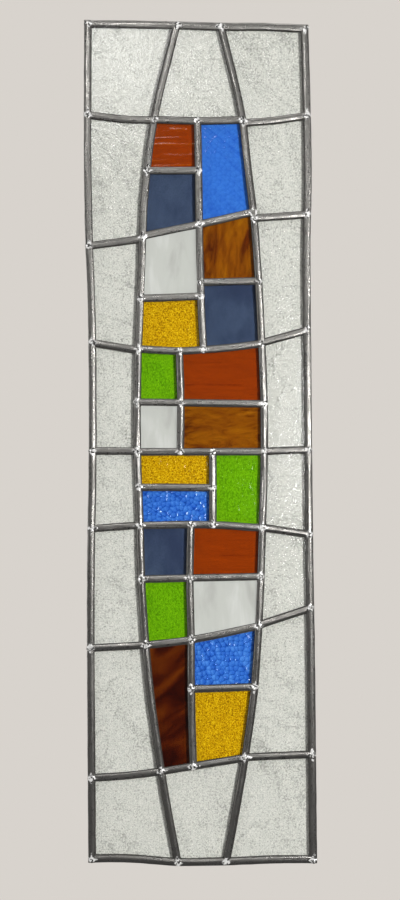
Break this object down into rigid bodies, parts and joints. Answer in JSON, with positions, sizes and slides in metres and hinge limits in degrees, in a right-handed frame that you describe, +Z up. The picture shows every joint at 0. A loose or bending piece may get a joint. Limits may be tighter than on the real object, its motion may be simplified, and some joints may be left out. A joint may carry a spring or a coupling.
{
  "type": "stained glass window",
  "caption": "Tall leaded glass panel: panes of plain coloured glass between two bowed lead cames, clear textured panes down both sides, in a flat-edged lead border.",
  "frame": {"origin": "middle of the level stretch of the bottom edge, halfway through the panel's depth", "axes": "+Z up the panel, +X to the right seen from the front, -Y out of the front face"},
  "size_m": [0.2291, 0.006, 0.8455],
  "materials": {
    "lead_came": "satin, drawn lead, lightly tarnished",
    "solder": "bright, lumpy, melted",
    "putty": "matt, blackened glazing putty",
    "glass_clear": "stippled on one face, clear",
    "glass_orange": "reamy, red-orange",
    "glass_blue": "hammered, mid blue",
    "glass_slate": "smooth, slate blue",
    "glass_white": "smooth, opal white",
    "glass_amber": "streaky, amber brown",
    "glass_yellow": "granular, yellow",
    "glass_green": "finely granular, leaf green",
    "glass_brown": "streaky, dark brown"
  },
  "bodies": {
    "root": {"came_border_left": "lead_came", "came_border_top": "lead_came", "came_border_right": "lead_came", "came_border_bottom": "lead_came", "came_bow_left": "lead_came", "came_bow_right": "lead_came", "came_bar_left_1": "lead_came", "came_bar_left_2": "lead_came", "came_bar_left_3": "lead_came", "came_bar_left_4": "lead_came", "came_bar_left_5": "lead_came", "came_bar_left_6": "lead_came", "came_bar_left_7": "lead_came", "came_bar_right_1": "lead_came", "came_bar_right_2": "lead_came", "came_bar_right_3": "lead_came", "came_bar_right_4": "lead_came", "came_bar_right_5": "lead_came", "came_bar_right_6": "lead_came", "came_bar_right_7": "lead_came", "came_centre_net": "lead_came", "glass_clear_left_1": "glass_clear", "glass_clear_left_2": "glass_clear", "glass_clear_left_3": "glass_clear", "glass_clear_left_4": "glass_clear", "glass_clear_left_5": "glass_clear", "glass_clear_left_6": "glass_clear", "glass_clear_left_7": "glass_clear", "glass_clear_left_8": "glass_clear", "glass_clear_right_1": "glass_clear", "glass_clear_right_2": "glass_clear", "glass_clear_right_3": "glass_clear", "glass_clear_right_4": "glass_clear", "glass_clear_right_5": "glass_clear", "glass_clear_right_6": "glass_clear", "glass_clear_right_7": "glass_clear", "glass_clear_right_8": "glass_clear", "glass_clear_top": "glass_clear", "glass_clear_bottom": "glass_clear", "glass_orange_1": "glass_orange", "glass_orange_2": "glass_orange", "glass_orange_3": "glass_orange", "glass_blue_1": "glass_blue", "glass_blue_2": "glass_blue", "glass_blue_3": "glass_blue", "glass_slate_1": "glass_slate", "glass_slate_2": "glass_slate", "glass_slate_3": "glass_slate", "glass_white_1": "glass_white", "glass_white_2": "glass_white", "glass_white_3": "glass_white", "glass_amber_1": "glass_amber", "glass_amber_2": "glass_amber", "glass_yellow_1": "glass_yellow", "glass_yellow_2": "glass_yellow", "glass_yellow_3": "glass_yellow", "glass_green_1": "glass_green", "glass_green_2": "glass_green", "glass_green_3": "glass_green", "glass_brown": "glass_brown"}
  },
  "joints": []
}
